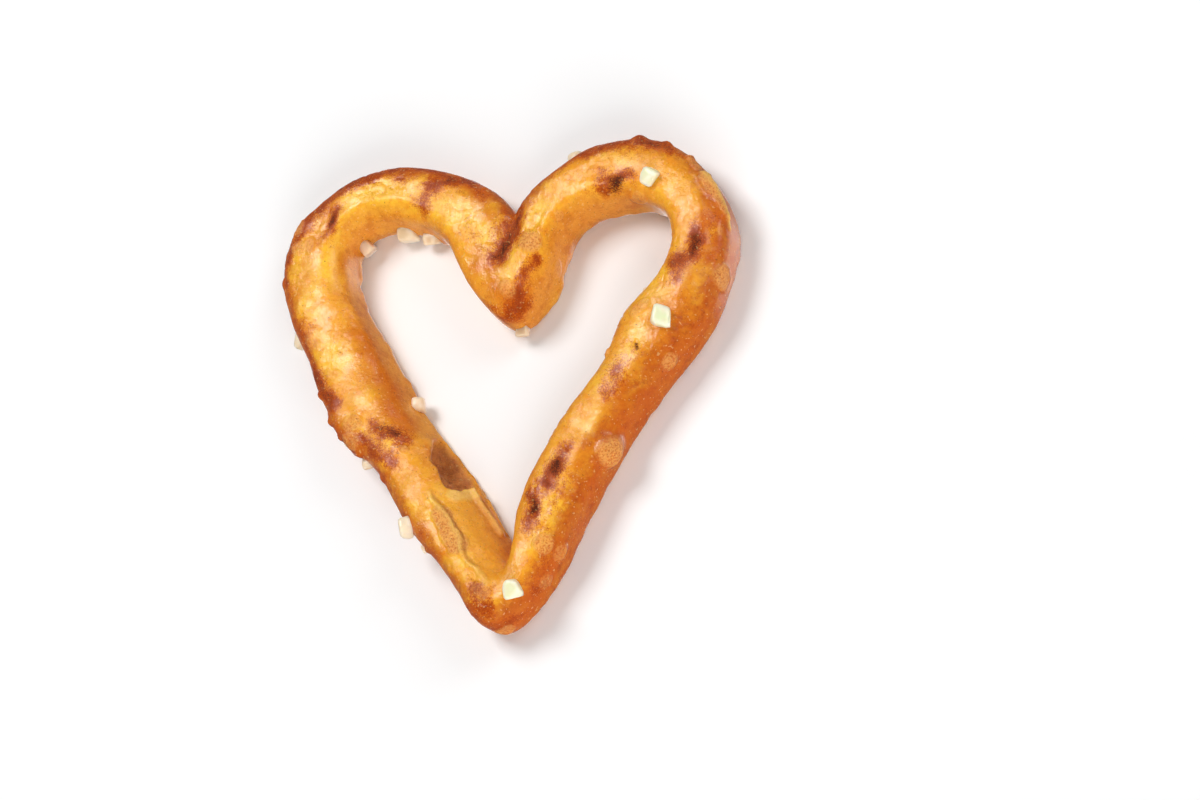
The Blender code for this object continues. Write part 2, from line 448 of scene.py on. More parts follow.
for rib, degrees, reach, height in KNOBS:
    lift += height * dome((rib, degrees), (rib, degrees), reach)

rim = ramp(-np.sin(turn), 0.35, 0.8) * (1 - ramp(np.abs(np.cos(turn)), 0.9, 1.0) * 0.5)
rim *= ramp(np.abs(np.cos(turn)), 0.35, 0.75)
rim *= 0.45 + 0.55 * ramp(-np.cos(turn), -0.2, 0.2)  # more round the hole
rough = noise(plain, 0.8, 7) * noise(plain, 2.2, 8)
lift += RAGGED_RIM * rim * (rough - 0.2)
print(f"skin relief to {np.abs(lift).max():.2f} mm in all")

# %% [markdown]
# ## Toasted marks
#
# Where the skin rose closest to the oven's heat it turned a soft reddish brown, mostly on
# the rims and on top of lumps. Random spots would brown the wrong places, so each mark is
# placed where the real pretzel has it. A long one is a row of short ones, because a
# straight line would leave the curve of the rim.

# %% Toasted marks
TOAST = (
    # start, end, reach in mm, strength
    ((11.1, 40), (10.5, 44), 1.0, 0.7),  # outer rim of the right lobe
    ((10.5, 44), (9.9, 44), 1.1, 0.9),
    ((9.9, 44), (9.3, 42), 1.2, 1.0),
    ((9.3, 42), (8.6, 40), 1.1, 0.8),
    ((9.75, 124), (9.3, 112), 1.0, 0.85),
    ((6.82, 74), (6.4, 82), 1.15, 1.0),  # right of the right lobe
    ((6.4, 84), (5.95, 98), 1.2, 0.95),
    ((7.3, 48), (6.4, 40), 0.9, 0.5),
    ((3.95, 98), (3.5, 76), 1.1, 0.7),  # right leg
    ((4.45, 100), (4.15, 84), 0.6, 0.4),
    ((2.65, 96), (2.15, 92), 1.1, 0.95),
    ((1.9, 108), (1.62, 96), 1.1, 1.0),
    ((2.4, 60), (1.6, 62), 1.0, 0.35),
    ((1.35, 36), (0.9, 10), 1.4, 0.85),
    ((3.3, 20), (2.3, 12), 1.1, 0.5),
    ((0.3, 10), (24.75, 26), 1.4, 0.9),  # tip
    ((24.85, 66), (24.5, 78), 1.1, 0.85),
    ((24.6, 40), (24.8, 60), 1.1, 0.8),
    ((21.6, 124), (21.3, 108), 1.3, 0.9),  # left leg
    ((22.0, 78), (21.4, 62), 1.1, 0.8),
    ((21.0, 20), (22.1, 22), 1.2, 0.75),
    ((20.3, 44), (20.75, 56), 1.1, 1.0),
    ((18.6, 46), (19.3, 50), 0.95, 0.7),
    ((19.3, 50), (20.2, 50), 1.0, 0.75),
    ((22.8, 42), (23.8, 36), 1.0, 0.4),
    ((17.85, 114), (17.5, 100), 0.9, 0.9),  # left lobe
    ((18.8, 46), (18.0, 50), 0.9, 0.8),
    ((18.0, 50), (17.3, 52), 1.15, 0.95),
    ((17.3, 50), (16.5, 50), 1.3, 1.0),
    ((16.5, 48), (15.7, 46), 1.3, 1.0),
    ((15.7, 38), (15.0, 38), 1.1, 0.95),
    ((15.0, 38), (14.2, 40), 0.9, 0.7),
    ((15.3, 52), (15.6, 84), 1.25, 1.0),
    ((15.6, 92), (15.8, 120), 0.95, 0.8),
    ((12.15, 46), (12.9, 62), 1.35, 0.95),  # cleft
    ((12.9, 62), (13.35, 88), 1.4, 1.0),
    ((12.2, 128), (12.8, 138), 0.7, 0.9),
    ((12.7, 140), (13.1, 156), 1.25, 0.9),
    ((12.9, 172), (13.4, 150), 0.8, 0.6),
    ((13.6, 100), (14.3, 96), 0.9, 0.3),
)
print(len(TOAST), "toasted marks")

# %% [markdown]
# ## Burnt marks, and deeper orange with painted shade
#
# Inside some toasted marks, tiny blisters caught and turned nearly black. Elsewhere a deeper
# orange lies in wide soft patches: partly dough that baked deeper, and partly painted shade,
# on the hole's wall where it turns from the light, under the cleft and in the right lobe's
# crease. Both are lists of the same kind. The sides that face away get a few marks drawn at
# random with a fixed seed, so that they look as baked as the rest, and the same every time.

# %% Burnt and deep marks
BURN = (
    # start, end, reach in mm, strength
    ((9.42, 126), (9.52, 130), 0.95, 1.0),  # right lobe
    ((9.4, 122), (9.25, 108), 0.8, 0.5),
    ((9.5, 44), (8.8, 44), 0.6, 0.6),
    ((10.3, 42), (9.6, 42), 0.5, 0.4),
    ((6.7, 77), (6.45, 83), 0.85, 0.9),
    ((6.4, 86), (6.0, 98), 0.9, 0.5),
    ((4.38, 91), (4.27, 85), 0.28, 1.0),  # slit on the right leg
    ((3.68, 42), (3.64, 48), 0.14, 0.9),
    ((2.5, 95), (2.36, 91), 0.95, 0.9),
    ((2.24, 97), (2.15, 93), 0.7, 0.5),
    ((1.82, 104), (1.72, 100), 0.8, 1.0),
    ((1.14, 34), (1.1, 35), 0.4, 0.8),
    ((21.45, 120), (21.3, 116), 1.0, 0.9),  # left leg
    ((21.5, 112), (21.6, 104), 0.8, 0.5),
    ((20.4, 50), (20.65, 56), 0.8, 0.65),
    ((17.78, 110), (17.62, 104), 0.7, 0.75),  # left lobe
    ((15.3, 46), (15.4, 60), 0.9, 0.9),
    ((15.5, 76), (15.7, 100), 0.7, 0.4),
    ((16.6, 38), (15.6, 40), 0.5, 0.4),
    ((12.3, 50), (13.1, 68), 0.75, 0.7),  # cleft
    ((13.1, 72), (13.35, 88), 0.9, 0.85),
    ((12.5, 134), (12.95, 148), 0.4, 0.35),
    ((24.7, 76), (24.5, 74), 0.8, 0.35),  # tip
)
# Deeper orange: partly dough that baked deeper, partly painted shade where walls turn from the
# light
DEEP_BAKE_AND_SHADE = (
    # start, end, reach in mm, strength
    # painted shade where the hole's wall turns from the light
    ((19.9, 146), (21.2, 147), 2.0, 0.7),  # hole side of the left leg
    # painted shade under the cleft
    ((13.8, 110), (13.1, 126), 1.6, 0.6),  # left of the nose under the cleft
    ((6.6, 52), (2.6, 56), 1.5, 0.5),  # right leg, outward
    # painted shade in the crease of the right lobe
    ((7.7, 54), (6.2, 50), 0.9, 0.75),
    ((14.6, 56), (13.9, 60), 1.4, 0.5),
    ((17.4, 60), (19.4, 50), 1.3, 0.4),
    ((23.0, 60), (24.4, 60), 1.3, 0.4),
)


def gather(table, ragged, soft=1.0, widen=1.0):
    """The strongest of a table's marks at each point, their reach widened."""
    weight = np.zeros(len(plain))
    for start, end, reach, strength in table:
        one = mark(start, end, reach * widen, ragged, soft)
        weight = np.maximum(weight, strength * one)
    return weight


unseen = np.random.default_rng(31)


def scattered(ribs, angles, reaches, length, strength, count=12):
    """Marks at random between two ribs, two angles and two reaches, of one length."""
    rib, angle, reach = (unseen.uniform(*span, count) for span in (ribs, angles, reaches))
    ends = zip(rib + length[0], angle + length[1])
    return tuple(zip(zip(rib, angle), ends, reach, [strength] * count))


hidden_toast = scattered((9, 24), (-45, 10), (0.8, 1.6), (0.4, 12), 0.7)
toast = gather(TOAST + hidden_toast, 1.3, widen=1.5)
burn = gather(BURN, 1.0, widen=1.25)
# weight of the deeper orange, partly painted shade
deep_bake_and_shade = gather(DEEP_BAKE_AND_SHADE, 0.8)
BLISTERED = 0.05  # mm that burnt skin rises
SLIT_DEPTH = 0.09  # mm
lift += BLISTERED * burn - SLIT_DEPTH * mark((4.38, 91), (4.27, 85), 0.25, 0.2)
print(f"{(toast > 0.3).mean():.0%} of the grid is toasted and {(burn > 0.3).mean():.1%} burnt")

# %% [markdown]
# ## Scars
#
# Where a salt grain fell off after baking, it leaves a round, pale, rough patch with a
# slightly raised edge. Where skin peeled, the patch is long and thin. A ring could be
# made from two marks, one in the other, but one will do: weight times one minus weight is
# nothing inside and outside, and highest where the mark fades.

# %% Scars
SCAR_LIFT = 0.05  # mm
SCAR_EDGE = 0.16
SCAR_ROUGHNESS = 0.16
SCARS = (
    # start, end, reach in mm, strength
    ((2.86, 14), (2.84, 17), 1.45, 1.0),  # right leg, on its bump
    ((1.38, 53), (1.38, 55), 1.0, 0.9),
    ((1.41, 14), (1.41, 15), 0.9, 0.5),
    ((1.05, 6), (1.05, 8), 0.8, 0.4),
    ((5.86, 11), (5.86, 15), 1.2, 0.9),
    ((4.19, 20), (4.19, 24), 0.85, 0.7),
    ((5.1, 112), (4.95, 118), 0.7, 0.5),
    ((8.05, 40), (7.35, 26), 0.6, 1.0),  # peeled skin on the right lobe
    ((8.5, 30), (8.3, 36), 0.5, 0.7),
    ((10.96, 138), (10.96, 139), 0.45, 0.6),
    ((8.85, 150), (8.95, 158), 0.8, 0.6),
    ((12.15, 104), (12.1, 110), 1.05, 1.0),  # cleft
    ((13.01, 118), (12.95, 122), 0.8, 0.6),
    ((11.9, 185), (11.95, 190), 0.7, 0.5),
    ((18.0, 42), (18.05, 46), 0.75, 0.8),  # left lobe
    ((18.35, 66), (18.4, 72), 0.85, 0.55),
    ((18.2, 88), (18.3, 92), 0.6, 0.4),
    ((19.9, 60), (20.0, 66), 0.6, 0.4),
    ((21.11, 68), (21.11, 74), 0.95, 0.7),  # left leg
    ((21.81, 118), (21.82, 120), 0.45, 0.7),
    ((21.35, 40), (21.4, 44), 0.8, 0.6),
    ((23.2, 116), (23.85, 110), 1.0, 1.0),
    ((0.1, 350), (0.1, 356), 0.9, 0.7),  # tip
    ((24.6, 92), (24.8, 88), 0.7, 0.4),
)
hidden_scars = scattered((8, 25), (-50, 5), (0.6, 1.2), (0.03, 4), 0.8)
scar = gather(SCARS + hidden_scars, 0.45, 0.4)
grit = noise(plain, 0.34, 9) - 0.5
lift += SCAR_LIFT * scar + SCAR_EDGE * scar * (1 - scar) + SCAR_ROUGHNESS * scar * grit
print(f"scars cover {(scar > 0.5).mean():.1%} of the grid")

# %% [markdown]
# ## The burst bubble
#
# Low in the hole a large bubble burst and left a crater with a crumbly floor, a raised
# rim and a pale lip below it. Cutting it out with a boolean would leave a sharp, stiff
# edge. Pushing the grid in with marks keeps the surface whole, and the rim is simply a
# wider mark with the crater taken off.

# %% Crater
CRATER_DEPTH = 0.5  # mm, on top of the large relief
CRATER_RIM = 0.12
CRATER_LIP = 0.1
CRATER_CRUMB = 0.2

crater = np.maximum.reduce((
    mark((21.75, 196), (22.4, 194), 1.4, 0.5, 0.22),
    mark((21.95, 182), (22.4, 180), 1.4, 0.5, 0.22),
    mark((22.1, 166), (22.5, 162), 1.15, 0.5, 0.3),
))
crater_rim = mark((21.8, 186), (22.35, 184), 2.0, 0.6, 0.3) * (1 - crater)
crater_lip = mark((22.82, 152), (22.78, 192), 0.95, 0.6, 0.5) * (1 - crater)
lift += CRATER_RIM * crater_rim + CRATER_LIP * crater_lip - CRATER_DEPTH * crater
lift += CRATER_CRUMB * crater * (noise(plain, 0.45, 12) - 0.5)
print(f"the crater covers {(crater > 0.5).mean():.1%} of the grid")

# %% [markdown]
# ## Ridges, cracks and edges
#
# On the slumped leg the front skin tore loose from the wall and curled into a thin ridge
# with a crack beside it, and the rim of the back was drawn out into a lip and a groove.
# Elsewhere the skin ends in a crisp edge over the wall of the hole. All are lines, so
# each is a chain of short marks through a few places, and its height may be negative.

# %% Ridges, cracks and edges
LINES = {
    # name: places, reach, raggedness and height in mm
    "ridge": (((22.74, 118), (23.31, 123), (23.68, 122), (23.95, 110), (24.35, 122),
               (24.76, 110)), 0.42, 0.5, 0.2),
    "crack": (((22.7, 124), (23.31, 129), (23.7, 128), (23.97, 116), (24.3, 127)),
              0.28, 0.8, -0.14),
    "lip": (((22.65, 190), (22.95, 193), (23.3, 196), (23.8, 202)), 0.5, 0.3, 0.3),
    "groove": (((22.65, 199), (22.95, 202), (23.3, 205), (23.8, 211)), 0.42, 0.3, -0.34),
    "peel": (((8.15, 38), (7.75, 30), (7.35, 24), (7.1, 20)), 0.42, 0.6, 0.12),
    "right_arch": (((11.9, 114), (11.3, 122), (10.6, 126), (9.8, 126), (9.3, 128)),
                   0.75, 0.5, 0.15),
    "left_arch": (((18.1, 116), (17.5, 120), (16.8, 122), (16.1, 124), (15.6, 124)),
                  0.75, 0.5, 0.15),
    "lobe_crease": (((7.9, 54), (7.3, 52), (6.7, 50), (6.1, 48), (5.4, 50)),
                    0.7, 0.6, -0.12),
}


def chain(places, reach, ragged):
    """The strongest of the marks that join each place to the next."""
    pieces = [mark(a, b, reach, ragged, 0.9) for a, b in zip(places, places[1:])]
    return np.max(pieces, axis=0)


line_weights = {}
for name, (places, reach, ragged, height) in LINES.items():
    line_weights[name] = chain(places, reach, ragged)
    lift += height * line_weights[name]
print(f"relief now from {lift.min():.2f} to {lift.max():.2f} mm")

# %% [markdown]
# ## The bare wall
#
# Below the torn skin the wall of the slumped leg lies bare, and it sagged in long folds
# that run down the strand. Round noise would give lumps. Reading the noise at the angle
# and the distance along, and stretching it along, gives folds instead.

# %% Bare wall and notch
FOLD_DEPTH = 0.22  # mm
NOTCH_HEIGHT = 0.18

bare = mark((23.0, 150), (24.4, 158), 2.1, 0.8, 0.7)
folds = noise(np.column_stack((turn * 2.4, along / 3.2, 0 * turn)), 1.0, 14)
lift += FOLD_DEPTH * bare * (folds - 0.5)
lift += NOTCH_HEIGHT * mark((4.12, 140), (4.12, 185), 0.5, 0.3)  # step inside the right leg
print(f"the bare wall covers {(bare > 0.5).mean():.1%} of the grid")

# %% [markdown]
# ## The baked strand
#
# Soft dough sank flat onto the oven band. A flat cut through the mesh would leave a hard
# line, so the relief is added along the normals and every point is then held at or above
# the surface that it rests on, with a faint print of the band.

# %% Crust points
BAND_PRINT = 0.05  # mm, relief that the oven band left in the back
PRINT_FADES = 0.2  # mm above the floor

points = plain + normals * lift[:, None]
band_print = BAND_PRINT * noise(plain, 0.9, 10) * back
points[:, 2] = np.maximum(points[:, 2] - SOLE_CUT, 0)
points[:, 2] += band_print * ramp(PRINT_FADES - points[:, 2], 0, PRINT_FADES)
print(f"dough up to {points[:, 2].max():.2f} mm high")

# %% [markdown]
# ## From points to a mesh
#
# Blender draws faces, not points. Four neighbours on the grid make one, and counting
# round at the last row and column closes the skin. All faces are made at once as whole
# arrays, which takes no time, where a loop over a hundred thousand points would be slow.

# %% Faces and mesh helper
row = np.repeat(np.arange(ROWS), COLUMNS)
column = np.tile(np.arange(COLUMNS), ROWS)
next_row = (row + 1) % ROWS * COLUMNS
next_column = (column + 1) % COLUMNS
row = row * COLUMNS
quads = (row + column, next_row + column, next_row + next_column, row + next_column)
quads = np.column_stack(quads)


def surface(name, corners, faces, weights):
    """A smooth mesh object from points in mm, faces and named weights."""
    mesh = bpy.data.meshes.new(name)
    mesh.from_pydata((corners * MM).tolist(), [], faces.tolist())
    mesh.polygons.foreach_set("use_smooth", np.ones(len(faces), bool))
    for label, values in weights.items():
        kind = "FLOAT" if values.ndim == 1 else "FLOAT_VECTOR"
        layer = mesh.attributes.new(label, kind, "POINT")
        layer.data.foreach_set("value" if kind == "FLOAT" else "vector", values.ravel())
    mesh.update()
    piece = bpy.data.objects.new(name, mesh)
    bpy.context.scene.collection.objects.link(piece)
    return piece


print(len(quads), "four-sided faces")

# %% [markdown]
# ## The crust
#
# The material has to know where the dough is toasted, scarred or bare. A painted picture
# could say so, but it would need a size in pixels. The weights go onto the mesh as
# attributes instead, one number for each point, which the material reads by name. One more
# attribute is the strand unrolled into a ring, for patterns that run along it.

# %% Crust mesh
GIRTH = 18.0  # mm once round the cut

# pale skin of the crater's lip and the peel, and a painted highlight on the back's lip and the
# ridge
pale_skin_and_highlights = np.maximum.reduce((
    crater_lip,
    0.7 * line_weights["lip"],
    0.8 * line_weights["peel"],
    0.6 * line_weights["ridge"],
))
# painted shade in the groove and the crack
groove_and_crack_shade = np.maximum(0.7 * line_weights["groove"], 0.6 * line_weights["crack"])
ring = 2 * np.pi * along / LENGTH
girth = GIRTH * (turn + np.pi / 2) / (2 * np.pi)
radius = LENGTH / (2 * np.pi)
unrolled = np.column_stack((radius * np.cos(ring), radius * np.sin(ring), girth)) * MM
weights = dict(
    front=front, outside=outside, shoulder=shoulder, inside=inside, back=back, toast=toast,
    burn=burn, scar=scar, crater=crater, lip=pale_skin_and_highlights, groove=groove_and_crack_shade, deep_bake_and_shade=deep_bake_and_shade,
    bare=bare, unrolled=unrolled,
)
crust = surface("crust", points, quads, weights)
print("crust:", len(crust.data.polygons) * 2, "triangles")

# %% [markdown]
# ## Salt grains
#
# A few coarse grains stick to the crust, some on the front and more on the walls. They
# could be scattered at random, but here each is placed where the real one sits, at the
# same places as in the CAD solid, and the hidden side gets a few of its own. All of them
# are one mesh, as they never move apart.

# %% Where the grains sit
GRAINS = (
    # rib, angle, width, height and depth against a typical grain, how white (less: painted
    # dough glow)
    (8.74, 111, 0.85, 1.0, 0.85, 1.0),  # right lobe, front
    (4.87, 78, 1.25, 1.05, 0.9, 1.0),  # right leg, front
    (0.59, 64, 0.95, 1.05, 0.9, 0.9),  # tip, front
    (16.49, 206, 1.1, 1.0, 1.0, 0.35),  # three that hang into the left lobe
    (15.91, 206, 1.05, 0.7, 0.8, 0.3),
    (17.62, 204, 0.8, 1.15, 0.9, 0.1),
    (21.69, 8, 0.7, 0.7, 0.6, 0.1),  # outside of the left leg
    (23.02, 30, 0.95, 1.35, 0.9, 0.3),
    (21.25, 4, 0.5, 0.6, 0.4, 0.2),
    (23.4, 12, 0.5, 0.5, 0.4, 0.2),
    (20.8, 203, 0.85, 1.1, 0.8, 0.1),  # wall round the hole
    (13.03, 204, 0.7, 0.6, 0.6, 0.2),
    (17.9, 352, 1.0, 0.9, 0.9, 0.3),  # outside of both lobes
    (10.6, 8, 0.9, 1.1, 0.85, 0.2),
    (19.6, 340, 0.95, 0.85, 0.8, 0.3),
    (5.7, 196, 0.9, 1.0, 0.8, 0.2),
)
print(len(GRAINS), "grains")

# %% [markdown]
# ## A ball for every grain
#
# A grain starts as a ball, because a ball has a point in every direction and closes
# neatly. Blender has a ready one, but this one is made like the crust, from two numbers:
# the angle down from the pole and the angle round. A fan of triangles closes each pole.

# %% Ball
RINGS = 14
SPOKES = 24

polar = np.repeat(np.linspace(0, np.pi, RINGS + 2)[1:-1], SPOKES)
spoke = np.tile(np.arange(SPOKES) * 2 * np.pi / SPOKES, RINGS)
sphere = (np.sin(polar) * np.cos(spoke), np.sin(polar) * np.sin(spoke), np.cos(polar))
sphere = np.vstack((np.column_stack(sphere), (0, 0, 1), (0, 0, -1)))


def sphere_faces():
    """Triangles of a ball of rings, with a fan round each pole."""
    i, j = np.divmod(np.arange((RINGS - 1) * SPOKES), SPOKES)
    k = (j + 1) % SPOKES
    a, b = i * SPOKES + j, i * SPOKES + k
    c, d = a + SPOKES, b + SPOKES
    middle = np.vstack((np.column_stack((a, c, d)), np.column_stack((a, d, b))))
    j = np.arange(SPOKES)
    k = (j + 1) % SPOKES
    north, south = RINGS * SPOKES, RINGS * SPOKES + 1
    low = (RINGS - 1) * SPOKES
    top = np.column_stack((np.full(SPOKES, north), j, k))
    bottom = np.column_stack((low + j, np.full(SPOKES, south), low + k))
    return np.vstack((middle, top, bottom))


print(f"{len(sphere)} points and {len(sphere_faces())} triangles for each grain")

# %% [markdown]
# ## Broken crystals
#
# Coarse salt is broken crystal: a lopsided block with worn corners. A cube with a bevel
# would look the same on every grain. A convex stone is what is left between a few flat
# faces, so seen from its middle, the distance to the surface is the distance to the
# nearest face in that direction. A high power in place of the exact minimum wears the
# edges round. Each grain gets six faces for the block and a few that cut its corners.

# %% Crystal shape
SALT_RISE = 0.08  # how far a grain's middle lies above the crust, against its width
CUTS = 7  # faces that cut the corners of the block
WEAR = 9  # power: higher keeps the edges sharper
LOPSIDED = 0.09  # how far the block's faces lean
BLOCK_GAPS = (0.92, 1.04)  # how far out the block's faces are, against the grain's half width
CUT_GAPS = (1.0, 1.2)


def crystal(sizes, rng):
    """Points of a worn crystal round the origin, in mm, and how near each is to an edge.

    The distance along a direction is one over the p-th root of the sum, over the faces,
    of (direction along the face's normal, over the face's distance) to the power p. At
    an edge, the second nearest face is as near as the nearest.
    """
    block = np.vstack((np.eye(3), -np.eye(3))) + rng.normal(scale=LOPSIDED, size=(6, 3))
    cuts = rng.normal(size=(CUTS, 3))
    faces = np.vstack((block, cuts))
    faces /= np.linalg.norm(faces, axis=1, keepdims=True)
    gaps = SALT / 2 * np.linalg.norm(faces * sizes, axis=1)
    gaps *= np.concatenate((rng.uniform(*BLOCK_GAPS, 6), rng.uniform(*CUT_GAPS, CUTS)))
    share = np.maximum(sphere @ faces.T, 0) / gaps
    nearest = np.sort(share, axis=1)
    edge = ramp(nearest[:, -2] / nearest[:, -1], 0.6, 0.95)
    return sphere * (np.sum(share**WEAR, axis=1) ** (-1 / WEAR))[:, None], edge


print(f"{6 + CUTS} faces shape each crystal")

# %% [markdown]
# ## Salt on the crust
#
# Each grain is turned so that it stands straight up from the crust, and sunk by nearly
# half, because it was pressed into soft dough. It rises with whatever relief lies under
# it, so none floats over a dent or drowns in a lump.

# %% Salt mesh
rng = np.random.default_rng(8)
grain_points, grain_faces, whiteness, edges = [], [], [], []
for number, (rib, degrees, *sizes, white) in enumerate(GRAINS):
    seat = on_strand(rib, degrees)
    up = Vector(seat - on_strand(rib, degrees + 180)).normalized()
    place = np.argmin(np.linalg.norm(plain - seat, axis=1))
    rise = SALT * SALT_RISE * min(sizes) + lift[place]
    upright = np.array(up.to_track_quat("Z", "Y").to_matrix())
    middle = seat + np.array(up) * rise - np.array((0, 0, SOLE_CUT))
    grain, edge = crystal(np.array(sizes), rng)
    grain = grain @ upright.T + middle
    grain[:, 2] = np.maximum(grain[:, 2], 0)
    grain_points.append(grain)
    grain_faces.append(sphere_faces() + number * len(sphere))
    whiteness.append(np.full(len(sphere), white))
    edges.append(edge)
salt = surface(
    "salt_grains",
    np.vstack(grain_points),
    np.vstack(grain_faces),
    {"white": np.concatenate(whiteness), "edge": np.concatenate(edges)},
)
print(f"{len(GRAINS)} grains, {len(salt.data.polygons)} triangles")

# %% [markdown]
# ## Helpers for materials
#
# A material is a small graph of nodes. It could be drawn by hand in the shader editor, but
# a graph of a hundred nodes is hard to read. These helpers add nodes and link what they
# read, so that a recipe below is a list of steps, or a table of layers. Numbers that are
# the same all over are typed into the shader's own sockets.

# %% Node helpers


class Recipe:
    """The node graph of a material or of the world, built one step at a time.

    Wherever a step takes a value, it may be a number, another step's output, or the
    name of a weight that the mesh carries.
    """

    def __init__(self, owner, shader="Principled BSDF"):
        owner.use_nodes = True
        self.owner = owner
        self.nodes = owner.node_tree.nodes
        self.links = owner.node_tree.links
        self.shader = self.nodes[shader]
        self.places = self.nodes.new("ShaderNodeTexCoord").outputs

    def put(self, value, socket):
        """Link an output to a socket, or type a plain value into it."""
        if isinstance(value, str):
            value = self.carried(value)
        if isinstance(value, bpy.types.NodeSocket):
            self.links.new(value, socket)
        else:
            socket.default_value = value

    def sums(self, operation, first, second=0.0, third=0.0):
        """One step of arithmetic on two or three values."""
        node = self.nodes.new("ShaderNodeMath")
        node.operation = operation
        for value, socket in zip((first, second, third), node.inputs):
            self.put(value, socket)
        return node.outputs[0]

    def blend(self, share, first, second, kind="MIX"):
        """Go from the first colour to the second as share goes from 0 to 1."""
        node = self.nodes.new("ShaderNodeMix")
        node.data_type = "RGBA"
        node.blend_type = kind
        node.clamp_factor = True
        self.put(share, node.inputs[0])
        colour_in = [s for s in node.inputs if s.type == "RGBA"]
        for value, socket in zip((first, second), colour_in):
            self.put(value, socket)
        return [s for s in node.outputs if s.type == "RGBA"][0]

    def cover(self, colour, layers):
        """Lay layers over a colour: share, colour and strength of each, in turn."""
        for share, over, strength in layers:
            colour = self.blend(self.sums("MULTIPLY", share, strength), colour, over)
        return colour

    def add_up(self, total, parts):
        """Add parts to a value, each times its own factor."""
        for value, factor in parts:
            total = self.sums("MULTIPLY_ADD", value, factor, total)
        return total

    def carried(self, label, output="Fac"):
        """What the mesh carries for each point: a number, or three as a Vector."""
        node = self.nodes.new("ShaderNodeAttribute")
        node.attribute_name = label
        return node.outputs[output]

    def shade(self, settings):
        """Put values into the shader's sockets, each by the socket's name."""
        for label, value in settings.items():
            self.put(value, self.shader.inputs[label])

    def stretch(self, vector, scale):
        """Scale coordinates along each axis."""
        node = self.nodes.new("ShaderNodeMapping")
        node.inputs["Scale"].default_value = scale
        self.put(vector, node.inputs["Vector"])
        return node.outputs["Vector"]

    def hills(self, size, detail=2.0, rough=0.5, vector=None, warp=0.0):
        """Noise with features about size mm across."""
        node = self.nodes.new("ShaderNodeTexNoise")
        node.inputs["Scale"].default_value = 1 / (size * MM)
        node.inputs["Detail"].default_value = detail
        node.inputs["Roughness"].default_value = rough
        node.inputs["Distortion"].default_value = warp
        self.put(self.places["Object"] if vector is None else vector, node.inputs["Vector"])
        return node.outputs["Fac"]

    def spread(self, value, low, high, to_low=0.0, to_high=1.0):
        """Carry the range from low to high onto another, with soft ends."""
        node = self.nodes.new("ShaderNodeMapRange")
        node.interpolation_type = "SMOOTHSTEP"
        for number, socket in zip((value, low, high, to_low, to_high), node.inputs):
            self.put(number, socket)
        return node.outputs[0]

    def bump(self, height, depth):
        """Shade the surface as if the height stood out by depth mm."""
        node = self.nodes.new("ShaderNodeBump")
        node.inputs["Strength"].default_value = 1.0
        node.inputs["Distance"].default_value = depth * MM
        self.put(height, node.inputs["Height"])
        self.shade({"Normal": node.outputs["Normal"]})


def paint(red, green, blue):
    """Linear colour from the 0 to 255 numbers that a paint program shows."""
    share = np.array((red, green, blue)) / 255
    line = np.where(share <= 0.04045, share / 12.92, ((share + 0.055) / 1.055) ** 2.4)
    return (*line.tolist(), 1.0)


print("mid grey in linear light:", round(paint(128, 128, 128)[0], 3))

# %% [markdown]
# ## Colours of the crust
#
# Baked dough runs from pale tan through amber and rust to nearly black. One brown made
# lighter and darker would look like clay, because real browning also turns redder as it
# darkens. So each stage has its own colour, matched against a real pretzel.

# %% Crust colours
AMBER = paint(255, 198, 56)
ORANGE = paint(238, 138, 18)
# deeper orange: partly baked colour, partly painted shade
DEEP_ORANGE_AND_SHADE = paint(204, 92, 0)
HOLE_TAN = paint(234, 156, 58)
WALL_BROWN = paint(190, 84, 10)
RUST = paint(150, 54, 10)
BACK_TAN = paint(206, 142, 70)
HALO = paint(202, 94, 14)
TOASTED = paint(156, 60, 8)
SCAR_PALE = paint(244, 176, 90)
SCAR_GRIT = paint(210, 112, 34)
BARE_TAN = paint(252, 180, 48)
BURNT = paint(80, 34, 14)
# red-brown of burns, also painted shade in the groove and the crack
BURNT_RED_AND_GROOVE_SHADE = paint(156, 62, 14)
# crater floor: crumb brown and painted shade of the hollow
CRATER_BROWN = paint(214, 136, 62)
CRATER_DARK = paint(170, 94, 36)
# pale skin, and a painted highlight on the lip and the ridge
PALE_SKIN_AND_HIGHLIGHT = paint(246, 198, 100)
FLECK = paint(232, 198, 140)
BUBBLE = paint(252, 212, 136)
BRAN = paint(120, 52, 16)
print("amber in linear light:", np.round(AMBER[:3], 2))

# %% [markdown]
# ## Dough under the marks
#
# The front is amber with patches of orange. The walls that the die cut are tan round the
# hole and brown outside, dappled and freckled, and the back is paler, where the band kept
# the heat off. Each layer is blended over the last one where its weight says, from the
# widest to the smallest, as they would be painted.

